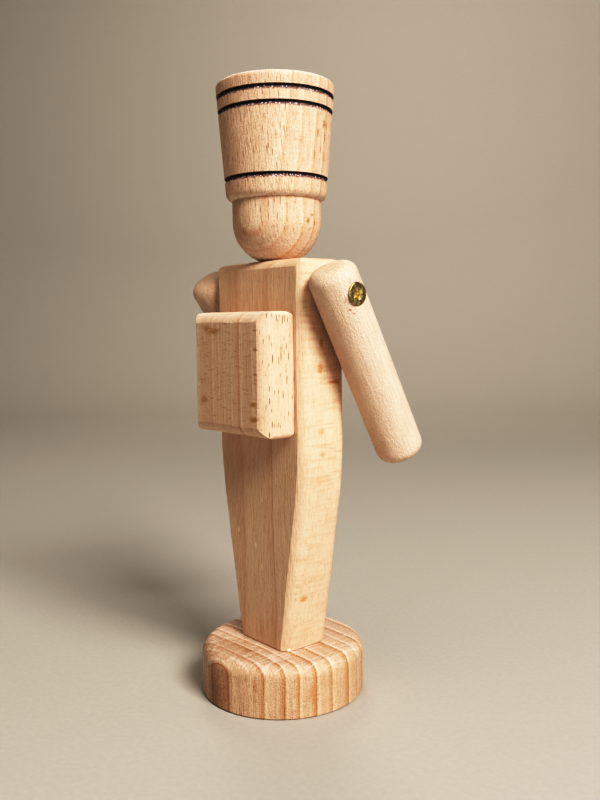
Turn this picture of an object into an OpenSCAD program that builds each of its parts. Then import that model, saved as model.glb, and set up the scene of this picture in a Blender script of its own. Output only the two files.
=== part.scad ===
// Toy soldier in plain beech: a turned head under a tall hat, a tapered block for the body, a knapsack
// on its back and two dowel arms that turn on screws. It stands on the XY plane and faces -Y.

/* [Base] */
// Diameter of the turned base disc
base_d = 42.6; // [38:0.1:60]
// Thickness of the base disc
base_h = 13.1; // [11:0.1:18]
// Radius that rounds the top edge of the base
base_edge_r = 3.1; // [1:0.1:5]
// Bevel round the underside of the base
base_bevel = 0.4; // [0.2:0.1:1]

/* [Body] */
// Width across the shoulders, kept down to the waist
body_w = 35.5; // [33:0.5:44]
// Width of the foot, where the body stands on the base
foot_w = 19.6; // [18:0.1:26]
// Depth of the body from its front face to its back face
body_d = 14.5; // [13:0.1:18]
// Height of the body from the base to the shoulders
body_h = 98.6; // [90:0.1:110]
// Height of the waist above the base, where the taper starts
waist_h = 45.9; // [36:0.1:55]
// Radius of the cutter that rounds the long edges and the shoulders
body_edge_r = 3.4; // [2:0.1:4.5]
// How far the faces are sanded back past that rounding, which leaves its edge crisp
face_relief = 0.25; // [0.1:0.05:0.4]

/* [Head and hat] */
// Diameter of the head
head_d = 22.4; // [20:0.1:24]
// Height of the head from the shoulders to the brim of the hat
head_h = 15.05; // [13.5:0.05:18]
// Radius that rounds the head down to the chin
chin_r = 10.4; // [9.5:0.1:10.8]
// Diameter of the flat under the chin that sits on the shoulders
chin_flat_d = 8; // [7:0.1:9]
// Height of the hat from brim to crown
hat_h = 28.65; // [26:0.05:34]
// Diameter of the hat at the crown
hat_top_d = 29.9; // [26.5:0.1:34]
// Diameter that the hat's taper runs down to at the brim
hat_brim_d = 25.2; // [24.8:0.1:27]
// Radius that rounds the crown's edge
crown_edge_r = 1; // [0.5:0.1:1.6]
// Radius that rounds the brim
brim_edge_r = 1.8; // [1:0.1:2.4]
// Width of each burnt groove
groove_w = 1.1; // [0.8:0.1:1.4]
// Depth of each burnt groove
groove_depth = 0.5; // [0.3:0.05:0.55]
// Distance of the highest groove below the crown
crown_groove_drop = 3.7; // [3:0.1:5]
// Spacing of the two grooves near the crown
groove_pitch = 3.6; // [2.4:0.1:6]
// Height of the lowest groove above the brim
brim_groove_rise = 4.95; // [3.5:0.05:7]

/* [Neck dowel] */
// Diameter of the dowel that joins the head to the body
neck_dowel_d = 6; // [5:0.5:6.5]
// Length of that dowel
neck_dowel_l = 24; // [18:1:30]

/* [Knapsack] */
// Width of the knapsack block
knapsack_w = 30; // [24:0.5:32]
// Height of the knapsack block
knapsack_h = 30.4; // [24:0.1:36]
// Thickness of the knapsack block
knapsack_t = 9.6; // [8:0.1:14]
// Distance of the knapsack's top edge below the shoulders
knapsack_drop = 12.7; // [8:0.1:16]
// Radius of the cutter that rounds the edges round the knapsack's back face
knapsack_edge_r = 4; // [2.5:0.1:4.8]
// Radius that eases the knapsack's corners and its edges next to the body
knapsack_corner_r = 1.3; // [0.6:0.1:2]

/* [Arms] */
// Diameter of the dowel that the arms are cut from
arm_d = 12; // [11:1:14]
// Length of each arm
arm_l = 52.6; // [46:0.1:58]
// Distance of the pivot below the arm's upper end
pivot_from_end = 7.2; // [6:0.1:9]
// Radius that rounds both ends of the arm
arm_end_r = 3; // [1.5:0.1:4]
// Distance of the pivots below the shoulders
pivot_drop = 9.1; // [7:0.1:12]
// How far the pivots lie behind the middle of the body's depth
pivot_back = 0.8; // [0:0.1:2]
// Free gap between each arm and the side of the body
arm_gap = 0.3; // [0.2:0.1:1]
// Forward swing of the right arm as the figure stands, in degrees
right_swing = 28; // [0:1:180]
// Forward swing of the left arm as the figure stands, in degrees
left_swing = 35; // [0:1:180]

/* [Screws] */
// Outer diameter of the arm screws
arm_screw_d = 3; // [2.5:0.5:3.5]
// Diameter of the arm screws' countersunk heads
arm_screw_head_d = 5.4; // [5:0.1:6.5]
// Length of the arm screws, head included
arm_screw_l = 25; // [22:1:26]
// Outer diameter of the foot screws
foot_screw_d = 3.5; // [3:0.5:4]
// Diameter of the foot screws' countersunk heads
foot_screw_head_d = 7; // [6:0.1:8]
// Length of the foot screws, head included
foot_screw_l = 30; // [25:1:40]
// Distance between the two foot screws
foot_screw_pitch = 10; // [9:0.1:11]

/* [Fits] */
// Clearance on the radius between an arm and the screw that it turns on
running_gap = 0.05; // [0.02:0.01:0.1]
// Clearance on the radius of what is glued or screwed fast
fast_gap = 0.02; // [0.01:0.01:0.05]
// Clearance between a sunk screw head and its countersink
head_gap = 0.1; // [0.05:0.01:0.15]

/* [Hidden] */
$fn = 96;

// Overrun of every cut
over = 1;
// Height of the straight rim round a screw's head
head_rim = 0.35;
// Length of a screw's point
screw_point = 3.5;
// How far an arm screw's head stands out of the crest of the dowel
head_proud = 0.15;
// How far a foot screw's head is sunk into the underside of the base
head_sunk = 0.5;
// Depth left free for glue beyond each end of the neck dowel
glue_room = 0.5;
// Depth that a pilot hole runs on past the point of its screw
pilot_room = 0.5;
// Bevel round both ends of the neck dowel
dowel_bevel = 0.5;

// Levels above the table
shoulder_z = base_h + body_h;
waist_z = base_h + waist_h;
brim_z = shoulder_z + head_h;
crown_z = brim_z + hat_h;
pivot_z = shoulder_z - pivot_drop;
knapsack_top_z = shoulder_z - knapsack_drop;
groove_levels = [brim_z + brim_groove_rise,
                 crown_z - crown_groove_drop - groove_pitch,
                 crown_z - crown_groove_drop];

// Distance of each arm's axis from the middle of the body
arm_x = body_w / 2 + arm_gap + arm_d / 2;
// Slope of the sides below the waist, and its angle
taper = (body_w - foot_w) / 2 / waist_h;
taper_angle = atan(taper);
// Growth of the hat's radius with height, and its angle
flare = (hat_top_d - hat_brim_d) / 2 / hat_h;
flare_angle = atan(flare);
// Arc that is groove_w wide and groove_depth deep
groove_r = (pow(groove_w / 2, 2) + pow(groove_depth, 2)) / (2 * groove_depth);

beech = "#D9B188";
pale_beech = "#E2BD9A";
end_grain = "#C9966B";
brass = "#B8952F";

// Radius of the hat at height z
function hat_r(z) = hat_brim_d / 2 + flare * (z - brim_z);
// Middle of the arc of radius r that rounds the hat's edge at height z
function hat_arc(r, z) = [hat_r(z) - r / cos(flare_angle), z];
// Where that arc runs into the tapered side
function hat_tangent(r, z) = hat_arc(r, z) + r * [cos(flare_angle), -sin(flare_angle)];

// Quarter of a disc, towards +X and +Y
module quarter(r) {
    intersection() {
        circle(r = r);
        square(r);
    }
}

// Countersunk wood screw along Z, with the top of its head at zero and its point down. The three
// clearances widen its shank, its head and its point, so that the same form also cuts its hole
module wood_screw(d, head_d, length, gap = 0, around_head = 0, past_point = 0) {
    shank_r = d / 2 + gap;
    rim_r = head_d / 2 + around_head;
    rotate_extrude()
        polygon([[0, 0], [rim_r, 0], [rim_r, -head_rim], [shank_r, shank_r - rim_r - head_rim],
                 [shank_r, screw_point - length - past_point], [0, -length - past_point]]);
}

// Hole for a screw in the piece that its head clamps, open above the head
module clamped_hole(d, head_d, length, gap) {
    wood_screw(d, head_d, length, gap, head_gap);
    translate([0, 0, -head_rim])
        cylinder(r = head_d / 2 + head_gap, h = head_rim + over);
}

// Rectangle with round corners, centred: front_r towards -Y and back_r towards +Y
module rounded_rectangle(w, h, front_r, back_r) {
    translate([-w / 2, front_r - h / 2])
        square([w, h - front_r - back_r]);
    for (corner = [[-1, front_r], [1, back_r]]) {
        side = corner[0];
        r = corner[1];
        translate([0, side * (h - r) / 2])
            square([w - 2 * r, r], center = true);
        for (x = [-1, 1])
            translate([x * (w / 2 - r), side * (h / 2 - r)])
                circle(r = r);
    }
}

// Blank of width w and depth d from low_z up to top_z. Cutters round its upright edges and its edges
// along X, with one radius in front and one behind, and its corners, which run along Y
module eased_blank(w, d, low_z, top_z, front_r, back_r, corner_r) {
    h = top_z - low_z;
    translate([0, 0, (low_z + top_z) / 2])
        intersection() {
            linear_extrude(h + over, center = true)
                rounded_rectangle(w, d, front_r, back_r);
            rotate([0, 90, 0])
                linear_extrude(w + over, center = true)
                    rounded_rectangle(h, d, front_r, back_r);
            rotate([90, 0, 0])
                linear_extrude(d + over, center = true)
                    rounded_rectangle(w, h, corner_r, corner_r);
        }
}

// Space between a block's two sanded faces, above floor_z
module sanded_slab(w, d, floor_z, top_z) {
    translate([-w / 2 - over, -d / 2, floor_z])
        cube([w + 2 * over, d, top_z - floor_z + over]);
}

// Place of an arm screw: side is -1 for the right arm and 1 for the left
module arm_screw_place(side) {
    translate([side * (arm_x + arm_d / 2 + head_proud), pivot_back, pivot_z])
        rotate([0, side * 90, 0])
            children();
}

// Place of a foot screw, driven up from below
module foot_screw_place(side) {
    translate([side * foot_screw_pitch / 2, 0, head_sunk])
        rotate([180, 0, 0])
            children();
}

module arm_screw(side) {
    color(brass)
        arm_screw_place(side)
            wood_screw(arm_screw_d, arm_screw_head_d, arm_screw_l);
}

module foot_screw(side) {
    color(brass)
        foot_screw_place(side)
            wood_screw(foot_screw_d, foot_screw_head_d, foot_screw_l);
}

// Dowel with rounded ends on its screw, swung forwards by an angle
module arm(side, swing) {
    r = arm_d / 2;
    color(pale_beech)
        difference() {
            translate([side * arm_x, pivot_back, pivot_z])
                rotate([-swing, 0, 0])
                    translate([0, 0, pivot_from_end - arm_l])
                        rotate_extrude() {
                            square([r - arm_end_r, arm_l]);
                            translate([0, arm_end_r])
                                square([r, arm_l - 2 * arm_end_r]);
                            translate([r - arm_end_r, arm_end_r])
                                mirror([0, 1])
                                    quarter(arm_end_r);
                            translate([r - arm_end_r, arm_l - arm_end_r])
                                quarter(arm_end_r);
                        }
            arm_screw_place(side)
                clamped_hole(arm_screw_d, arm_screw_head_d, arm_screw_l, running_gap);
        }
}

module base_disc() {
    r = base_d / 2;
    color(end_grain)
        difference() {
            rotate_extrude() {
                polygon([[0, 0], [r - base_bevel, 0], [r, base_bevel], [r, base_h - base_edge_r],
                         [r - base_edge_r, base_h], [0, base_h]]);
                translate([r - base_edge_r, base_h - base_edge_r])
                    quarter(base_edge_r);
            }
            for (side = [-1, 1])
                foot_screw_place(side)
                    clamped_hole(foot_screw_d, foot_screw_head_d, foot_screw_l, fast_gap);
        }
}

// Space inside one tapered side of the body, its long edges rounded like the rest
module inside_taper(side) {
    translate([side * body_w / 2, 0, waist_z])
        rotate([0, side * taper_angle, 0])
            translate([-side * body_w, 0, 0])
                linear_extrude(2 * body_h, center = true)
                    rounded_rectangle(2 * body_w, body_d + 2 * face_relief, body_edge_r, body_edge_r);
}

module body_block() {
    neck_bore_depth = neck_dowel_l / 2 + glue_room;
    color(beech)
        difference() {
            intersection() {
                eased_blank(body_w, body_d + 2 * face_relief, base_h - body_edge_r, shoulder_z,
                            body_edge_r, body_edge_r, body_edge_r);
                inside_taper(-1);
                inside_taper(1);
                sanded_slab(body_w, body_d, base_h, shoulder_z);
            }
            translate([0, 0, shoulder_z - neck_bore_depth])
                cylinder(r = neck_dowel_d / 2 + fast_gap, h = neck_bore_depth + over);
            for (side = [-1, 1]) {
                arm_screw_place(side)
                    wood_screw(arm_screw_d, arm_screw_head_d, arm_screw_l, fast_gap, 0, pilot_room);
                foot_screw_place(side)
                    wood_screw(foot_screw_d, foot_screw_head_d, foot_screw_l, fast_gap, 0, pilot_room);
            }
        }
}

// Head and hat, turned from one piece, grooves included
module turned_head() {
    head_r = head_d / 2;
    chin_x = head_r - chin_r;
    chin_z = shoulder_z + sqrt(pow(chin_r, 2) - pow(chin_flat_d / 2 - chin_x, 2));
    brim_arc_z = brim_z + brim_edge_r;
    crown_arc_z = crown_z - crown_edge_r;
    color(beech)
        difference() {
            rotate_extrude()
                difference() {
                    union() {
                        translate([0, chin_z])
                            square([head_r, brim_arc_z - chin_z]);
                        intersection() {
                            translate([chin_x, chin_z])
                                circle(r = chin_r);
                            translate([0, shoulder_z])
                                square([head_r, chin_z - shoulder_z]);
                        }
                        polygon([[0, brim_z], [hat_arc(brim_edge_r, brim_arc_z)[0], brim_z],
                                 hat_tangent(brim_edge_r, brim_arc_z),
                                 hat_tangent(crown_edge_r, crown_arc_z),
                                 [hat_arc(crown_edge_r, crown_arc_z)[0], crown_z], [0, crown_z]]);
                        translate(hat_arc(brim_edge_r, brim_arc_z))
                            circle(r = brim_edge_r);
                        translate(hat_arc(crown_edge_r, crown_arc_z))
                            circle(r = crown_edge_r);
                    }
                    for (z = groove_levels)
                        translate([hat_r(z) + groove_r - groove_depth, z])
                            circle(r = groove_r);
                }
            translate([0, 0, shoulder_z - over])
                cylinder(r = neck_dowel_d / 2 + fast_gap, h = over + neck_dowel_l / 2 + glue_room);
        }
}

module neck_dowel() {
    r = neck_dowel_d / 2;
    color(pale_beech)
        translate([0, 0, shoulder_z - neck_dowel_l / 2])
            rotate_extrude()
                polygon([[0, 0], [r - dowel_bevel, 0], [r, dowel_bevel], [r, neck_dowel_l - dowel_bevel],
                         [r - dowel_bevel, neck_dowel_l], [0, neck_dowel_l]]);
}

module knapsack() {
    bottom_z = knapsack_top_z - knapsack_h;
    color(beech)
        translate([0, (body_d + knapsack_t) / 2, 0])
            intersection() {
                eased_blank(knapsack_w, knapsack_t + 2 * face_relief, bottom_z, knapsack_top_z,
                            knapsack_corner_r, knapsack_edge_r, knapsack_corner_r);
                sanded_slab(knapsack_w, knapsack_t, bottom_z, knapsack_top_z);
            }
}

base_disc();
body_block();
turned_head();
neck_dowel();
knapsack();
arm(-1, right_swing);  // right_arm
arm(1, left_swing);  // left_arm
arm_screw(-1);  // right_arm_screw
arm_screw(1);  // left_arm_screw
foot_screw(-1);  // right_foot_screw
foot_screw(1);  // left_foot_screw
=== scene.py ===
"""Looks of a beech toy soldier: turned, sawn and dowelled pieces of solid wood on brass-plated screws."""
import math
import random

import bmesh
import bpy
from mathutils import Euler, Matrix, Vector, noise


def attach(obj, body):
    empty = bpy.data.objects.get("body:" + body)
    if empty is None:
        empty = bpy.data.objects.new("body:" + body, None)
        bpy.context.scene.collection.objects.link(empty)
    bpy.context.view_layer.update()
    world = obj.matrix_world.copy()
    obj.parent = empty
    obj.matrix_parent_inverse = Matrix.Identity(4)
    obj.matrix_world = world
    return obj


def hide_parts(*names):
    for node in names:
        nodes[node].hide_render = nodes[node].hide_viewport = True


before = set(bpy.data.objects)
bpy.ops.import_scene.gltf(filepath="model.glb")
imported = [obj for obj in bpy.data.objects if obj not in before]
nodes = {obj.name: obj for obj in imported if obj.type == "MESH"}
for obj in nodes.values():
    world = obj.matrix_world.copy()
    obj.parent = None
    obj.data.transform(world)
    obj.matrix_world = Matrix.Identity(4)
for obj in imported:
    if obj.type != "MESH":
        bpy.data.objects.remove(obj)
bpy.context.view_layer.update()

MM = 0.001

# Sizes of the figure in millimetres, as in the CAD source
BASE_R = 21.3
BASE_H = 13.1
BASE_EDGE_R = 3.1
BASE_BEVEL = 0.4
BODY_W = 35.5
BODY_D = 14.5
BODY_FOOT_W = 19.6
BODY_EDGE_R = 3.4
FACE_RELIEF = 0.25          # a blank is thicker by this on each side and then planed back to a crisp border
SHOULDER_Z = 111.7
WAIST_Z = 59.0
TAPER = (BODY_W - BODY_FOOT_W) / 2 / (WAIST_Z - BASE_H)
HEAD_R = 11.2
CHIN_R = 10.4
CHIN_FLAT_R = 4.0
BRIM_Z = 126.75
CROWN_Z = 155.4
HAT_BRIM_R = 12.6
HAT_CROWN_R = 14.95
FLARE = (HAT_CROWN_R - HAT_BRIM_R) / (CROWN_Z - BRIM_Z)
BRIM_EDGE_R = 1.8
CROWN_EDGE_R = 1.0
GROOVES = (131.7, 148.1, 151.7)
GROOVE_W = 1.1
GROOVE_DEPTH = 0.5
NECK_BORE_R = 3.02
NECK_BORE_DEPTH = 12.5
PACK_W = 30.0
PACK_H = 30.4
PACK_T = 9.6
PACK_TOP_Z = 99.0
PACK_EDGE_R = 4.0
PACK_CORNER_R = 1.3
ARM_R = 6.0
ARM_L = 52.6
ARM_END_R = 3.0
ARM_ABOVE_PIVOT = 7.2
ARM_X = 24.05
PIVOT_Y = 0.8
PIVOT_Z = 102.6
RIGHT_SWING = 28.0          # degrees forwards, as the left one's
LEFT_SWING = 35.0
ARM_SCREW = {"d": 3.0, "head_d": 5.4, "length": 25.0}
FOOT_SCREW = {"d": 3.5, "head_d": 7.0, "length": 30.0}
FOOT_SCREW_X = 5.0
HEAD_SUNK = 0.5
HEAD_PROUD = 0.15
HEAD_RIM = 0.35
SCREW_POINT = 3.5
HEAD_GAP = 0.1
RUNNING_GAP = 0.05
FAST_GAP = 0.02
PILOT_ROOM = 0.5

# Sizes in millimetres of what only the looks have
PACK_FRONT_R = 3.0          # the knapsack's level edges on its glued side, rounder than in the CAD
WAIST_SOFT = 8.0            # the sanded bend starts so far above and ends so far below the waist
SOLE_BEVEL = 0.25           # round the body's foot
HEAD_BEVEL_W = 0.15         # round a screw's head
HEAD_BEVEL_H = 0.12
THREAD_START = 0.4          # under the cone of the head
THREADLESS = 4.5            # of a screw's length, at its head and its point
CREST_BACK = 0.01           # the thread's crest lies inside the screw's diameter by this
ROOT_SUNK = 0.03            # and its root inside the core

# Shares of a screw's diameter
THREAD_H = 0.15
THREAD_PITCH = 0.42

# Shares of a screw head's diameter. The cross recess is cut by slots: turn in degrees, reach and width
CROSS_SLOTS = ((0, 0.38, 0.24), (90, 0.38, 0.24), (45, 0.342, 0.07), (135, 0.342, 0.07))
RECESS_DEPTH = 0.15
RECESS_BOUND_R = 0.399              # all of the recess lies within this radius and this depth
RECESS_BOUND_DEPTH = 0.25

# Camera, worked out from the photograph: the place of the lens round the figure and where it looks
BEARING = 51.0              # degrees from straight behind the figure towards its right hand
DISTANCE = 218.8 * MM       # from the figure's upright axis, level
LENS_HEIGHT = 96.4 * MM
YAW = -1.40                 # degrees that the lens looks away from that axis
PITCH = -5.28
ROLL = -0.70
FOCAL_PIXELS = 846.6
LONG_SIDE_PIXELS = 800
SENSOR = 36.0
NEAREST = 10 * MM
FARTHEST = 20.0

# Studio in millimetres: a level floor that curves up into a wall
FLOOR_R = 700
FLOOR_SWEEP_R = 500
WALL_TOP = 1600
FLOOR_GAP = 0.02            # under the base, so that the two faces don't share a plane

# What most lamps look at, in metres, and the light from all round
FIGURE_MIDDLE = Vector((0, 0, 75 * MM))
AMBIENT = (0.020, 0.019, 0.016, 1)

# Tone curve of a snapshot camera: deep shadows, and highlights that ease off
TONE_CURVE = (
    (0.1, 0.05), (0.2, 0.16), (0.3, 0.32), (0.4, 0.50), (0.5, 0.66), (0.6, 0.79), (0.7, 0.88), (0.85, 0.96))

# Mesh work
OVER = 1.0                  # millimetres that a cutter runs on past what it cuts
NEAR = 0.0001               # millimetres within which two places are the same
DOUBLES = 0.0005            # millimetres within which a turned form's vertices are joined
PLANED_AREA = 60 * 1e-6     # square metres: a face larger than this was planed or cut flat

# Sockets of a Mix node that mixes colours
FACTOR, FIRST, SECOND, MIXED = 0, 6, 7, 2


# Shaping

def lines_to(bm, end, *places):
    """Draws a turner's profile straight on through places, each a radius and a level."""
    for r, z in places:
        end = bmesh.ops.extrude_vert_indiv(bm, verts=[end])["verts"][0]
        end.co = (r, 0, z)
    return end


def arc_about(bm, end, r, z, degrees, steps):
    """Draws the profile on along an arc about the point at radius r and level z, outwards and up."""
    made = bmesh.ops.spin(
        bm, geom=[end], cent=(r, 0, z), axis=(0, -1, 0), dvec=(0, 0, 0), angle=math.radians(degrees),
        steps=steps, use_merge=False, use_duplicate=False)
    return [v for v in made["geom_last"] if isinstance(v, bmesh.types.BMVert)][0]


def turn_on_lathe(bm, steps):
    """Spins the profile once round the Z axis."""
    bmesh.ops.spin(
        bm, geom=bm.verts[:] + bm.edges[:], cent=(0, 0, 0), axis=(0, 0, 1), dvec=(0, 0, 0),
        angle=math.tau, steps=steps, use_merge=True, use_duplicate=False)
    bmesh.ops.remove_doubles(bm, verts=bm.verts, dist=DOUBLES)
    bmesh.ops.recalc_face_normals(bm, faces=bm.faces)


def cut_long_lines(bm, longest):
    """Divides the profile's long lines, so that what is done to the surface later has vertices to move."""
    for edge in bm.edges[:]:
        cuts = int(edge.calc_length() / longest)
        if cuts:
            bmesh.ops.subdivide_edges(bm, edges=[edge], cuts=cuts)


def slice_up(bm, axis, low, high, pitch):
    """Cuts lines round a block, square to an axis and a pitch apart."""
    normal = Vector([float(axis == a) for a in "XYZ"])
    count = int((high - low) / pitch)
    for k in range(1, count):
        spot = normal * (low + (high - low) * k / count)
        bmesh.ops.bisect_plane(
            bm, geom=bm.verts[:] + bm.edges[:] + bm.faces[:], dist=NEAR, plane_co=spot, plane_no=normal)


def plane_off(bm, spot, outward):
    """Takes off all that lies beyond a plane and closes the cut. Returns the new flat face."""
    made = bmesh.ops.bisect_plane(
        bm, geom=bm.verts[:] + bm.edges[:] + bm.faces[:], dist=NEAR, plane_co=spot, plane_no=outward,
        clear_outer=True)
    rim = [e for e in made["geom_cut"] if isinstance(e, bmesh.types.BMEdge)]
    return bmesh.ops.contextual_create(bm, geom=rim)["faces"]


def unevenness(bm, depth, grain, seed, among=None):
    """Moves points along their normals by hand-work's unevenness, at most depth either way."""
    shift = Vector((seed * 17.3, seed * 5.1, seed * 9.7))
    bm.normal_update()
    for v in among if among is not None else bm.verts:
        spot = v.co / grain + shift
        v.co += v.normal * depth * noise.noise(spot)


def keep_within(bm, radius):
    """Takes back what unevenness moved out past a turned radius."""
    for v in bm.verts:
        reach = v.co.xy.length
        if reach > radius:
            v.co.xy *= radius / reach


def fit_inside(bm, half_width, low, high):
    """Takes back what unevenness moved out past a sawn size."""
    for v in bm.verts:
        v.co.x = max(-half_width, min(half_width, v.co.x))
        v.co.z = max(low, min(high, v.co.z))


def wood_screw_profile(bm, d, head_d, length, gap=0.0, around_head=0.0, past_point=0.0, open_above=0.0):
    """The outline of a countersunk screw, widened by clearances where it is to cut its hole."""
    shank_r = d / 2 + gap
    rim_r = head_d / 2 + around_head
    end = bm.verts.new((0, 0, open_above))
    lines_to(bm, end, (rim_r, open_above), (rim_r, -HEAD_RIM), (shank_r, shank_r - rim_r - HEAD_RIM),
             (shank_r, SCREW_POINT - length - past_point), (0, -length - past_point))


def arm_screw_place(side):
    """Where an arm screw sits: side is -1 for the right arm and 1 for the left."""
    head = Vector((side * (ARM_X + ARM_R + HEAD_PROUD), PIVOT_Y, PIVOT_Z))
    return Matrix.Translation(head) @ Matrix.Rotation(side * math.pi / 2, 4, "Y")


def foot_screw_place(side):
    """Where a foot screw sits, driven up from below."""
    return Matrix.Translation((side * FOOT_SCREW_X, 0, HEAD_SUNK)) @ Matrix.Rotation(math.pi, 4, "X")


def as_mesh(bm, name):
    """Turns a form into a mesh, and lets the form go."""
    mesh = bpy.data.meshes.new(name)
    bm.to_mesh(mesh)
    bm.free()
    return mesh


def put_out(name, data):
    """Puts a new object into the scene."""
    thing = bpy.data.objects.new(name, data)
    bpy.context.scene.collection.objects.link(thing)
    return thing


def cut_with(bm, tool, operation="DIFFERENCE"):
    """Takes one closed form away from another, or keeps only what both hold. Returns what is left."""
    solid, cutter = [put_out(name, as_mesh(form, name)) for name, form in (("solid", bm), ("tool", tool))]
    boolean = solid.modifiers.new("cut", "BOOLEAN")
    boolean.operation = operation
    boolean.solver = "EXACT"
    boolean.object = cutter
    cut = bpy.data.meshes.new_from_object(solid.evaluated_get(bpy.context.evaluated_depsgraph_get()))
    for spent in (solid, cutter):
        bpy.data.meshes.remove(spent.data)
    left = bmesh.new()
    left.from_mesh(cut)
    bpy.data.meshes.remove(cut)
    return left


def bore_for_screw(bm, place, sizes, **clearances):
    """Bores the hole of a wood screw."""
    cutter = bmesh.new()
    wood_screw_profile(cutter, **sizes, **clearances)
    turn_on_lathe(cutter, steps=64)
    bmesh.ops.transform(cutter, matrix=place, verts=cutter.verts)
    bmesh.ops.recalc_face_normals(cutter, faces=cutter.faces)
    return cut_with(bm, cutter)


def finish_piece(bm, name, body, node, material, crisp=17.0):
    """Makes the finished piece, in metres. It rides on a body and stands for a CAD node."""
    bmesh.ops.scale(bm, vec=(MM, MM, MM), verts=bm.verts)
    mesh = as_mesh(bm, name)
    mesh.shade_smooth()
    mesh.set_sharp_from_angle(angle=math.radians(crisp))
    for face in mesh.polygons:
        face.use_smooth = face.area < PLANED_AREA
    mesh.materials.clear()
    mesh.materials.append(material)
    piece = put_out(name, mesh)
    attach(piece, body)
    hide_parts(node)


# Materials

def srgb(code, cover=1.0):
    """A hex colour as the linear colour that shaders take, with how much it covers."""
    parts = [int(code[i:i + 2], 16) / 255 for i in (1, 3, 5)]
    return [p / 12.92 if p <= 0.04045 else ((p + 0.055) / 1.055) ** 2.4 for p in parts] + [cover]


def grey(value):
    """A ramp stop that holds a number."""
    return (value, value, value, 1.0)


def feed(tree, node, inputs):
    """Links a node's inputs or sets them."""
    for key, value in inputs.items():
        if isinstance(value, bpy.types.NodeSocket):
            tree.links.new(value, node.inputs[key])
        else:
            node.inputs[key].default_value = value


def add(tree, kind, inputs=None, stops=(), **settings):
    """Adds a shader node with its settings, links and colour stops, and returns its outputs."""
    node = tree.nodes.new("ShaderNode" + kind)
    for name, value in settings.items():
        setattr(node, name, value)
    feed(tree, node, inputs or {})
    for number, (place, colour) in enumerate(stops):
        elements = node.color_ramp.elements
        stop = elements[number] if number < len(elements) else elements.new(place)
        stop.position = place
        stop.color = colour
    return node.outputs


def new_material(name):
    """A material, its node tree and its shader."""
    material = bpy.data.materials.new(name)
    material.use_nodes = True
    return material, material.node_tree, material.node_tree.nodes["Principled BSDF"]


def place_in_millimetres(tree):
    """Where the surface is on its piece."""
    place = add(tree, "TexCoord")["Object"]
    return add(tree, "VectorMath", {0: place, 1: (1 / MM,) * 3}, operation="MULTIPLY")[0]


# Beech's features: size in millimetres out of the trunk, round it and up it, and how finely each breaks up
GRAIN_NOISES = (
    ("patch", (6.0, 6.0, 22.0), 3.0),       # warmer and cooler patches
    ("fibre", (0.5, 0.5, 7.0), 4.0),        # bundles of fibres
    ("vessel", (0.36, 0.36, 4.6), 2.0),     # darker streaks of opened vessels
    ("ripple", (1.9, 1.2, 0.42), 1.5),      # rays side on, short
    ("wave", (7.0, 4.0, 0.9), 1.5),         # rays side on, long and faint
    ("ray", (22.0, 2.2, 9.0), 0.0),         # broad rays across the end grain
    ("hatch", (9.0, 0.45, 9.0), 2.0),       # fine rays across the end grain
    ("pore", (0.42, 0.42, 0.42), 2.0))      # open pores, a little larger than real ones, to show

# How strongly each feature shows where a wood doesn't say otherwise, and in which colours
PLAIN_BEECH = {
    "seasons": 0.5, "quarter_seasons": None,    # growth rings, and those on quartered faces if not the same
    "patches": 0.4, "streaks": 0.3,             # warmer and cooler patches, and streaks of opened vessels
    "dashes": 0.5, "pores": 0.4,                # broad and narrow rays end on
    "flecks": 0.3, "silver": 0.4, "grit": 0.5,  # brown flecks and faint waves of rays side on, open pores
    "end": 0.5, "end_tone": "#DBB592",          # end grain
    "early": "#E6CDB2", "late": "#C48F66",      # the start of a season and its last part
    "fuzz": 0.5, "relief": 0.12,                # nap beside the fibres, and millimetres of height
    "gloss": (0.44, 0.62)}                      # lowest and highest roughness
SEASON_EDGE, SEASON_EDGE_ACROSS, EARLY_ACROSS = "#94603C", "#8A5C46", "#EAD2BE"
RAY_ACROSS, VESSEL, FLECK = "#F2E0D0", "#AE7C50", "#9A6638"
SEASON_TURNS = 0.25     # millimetres from one season's dark edge to the pale start of the next
WANDER = 1.6            # width in millimetres of the band that a ring wanders within


def year_rings(places):
    """Ramp stops for rings that end at these places: wood rises from 0 to each ring's own strength."""
    low, high = places[0][0], places[-1][0]
    stops = []
    for place, strength in places:
        share = (place - low) / (high - low)
        stops.append((share, grey(strength)))
        stops.append((min(share + SEASON_TURNS / (high - low), 1.0), grey(0.0)))
    return stops


def regular_rings(half, pitch, seed):
    """Rings from -half to half at about a pitch, uneven as seasons are."""
    dice = random.Random(seed)
    places, spot = [], -half
    while spot < half and len(places) < 16:
        places.append((spot, dice.uniform(0.55, 1.0)))
        spot += pitch * dice.uniform(0.6, 1.5)
    return places


def lay_of_grain(tree, plain, lie, centre):
    """Places in the trunk, in millimetres: out of it, round it and up it. The trunk wandered a little as it
    grew: a millimetre across in some 20, and slower along the grain."""
    to_middle = -(lie.to_matrix() @ Vector(centre))
    grain = add(tree, "Mapping", {"Vector": plain, "Rotation": lie, "Location": to_middle})[0]
    slow = add(tree, "VectorMath", {0: grain, 1: (1 / 18, 1 / 18, 1 / 60)}, operation="MULTIPLY")[0]
    drift = add(tree, "TexNoise", {"Vector": slow, "Scale": 1.0, "Detail": 2.0})["Color"]
    return add(tree, "VectorMath", {0: drift, 1: (WANDER, WANDER, 0), 2: grain}, operation="MULTIPLY_ADD")[0]


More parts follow.
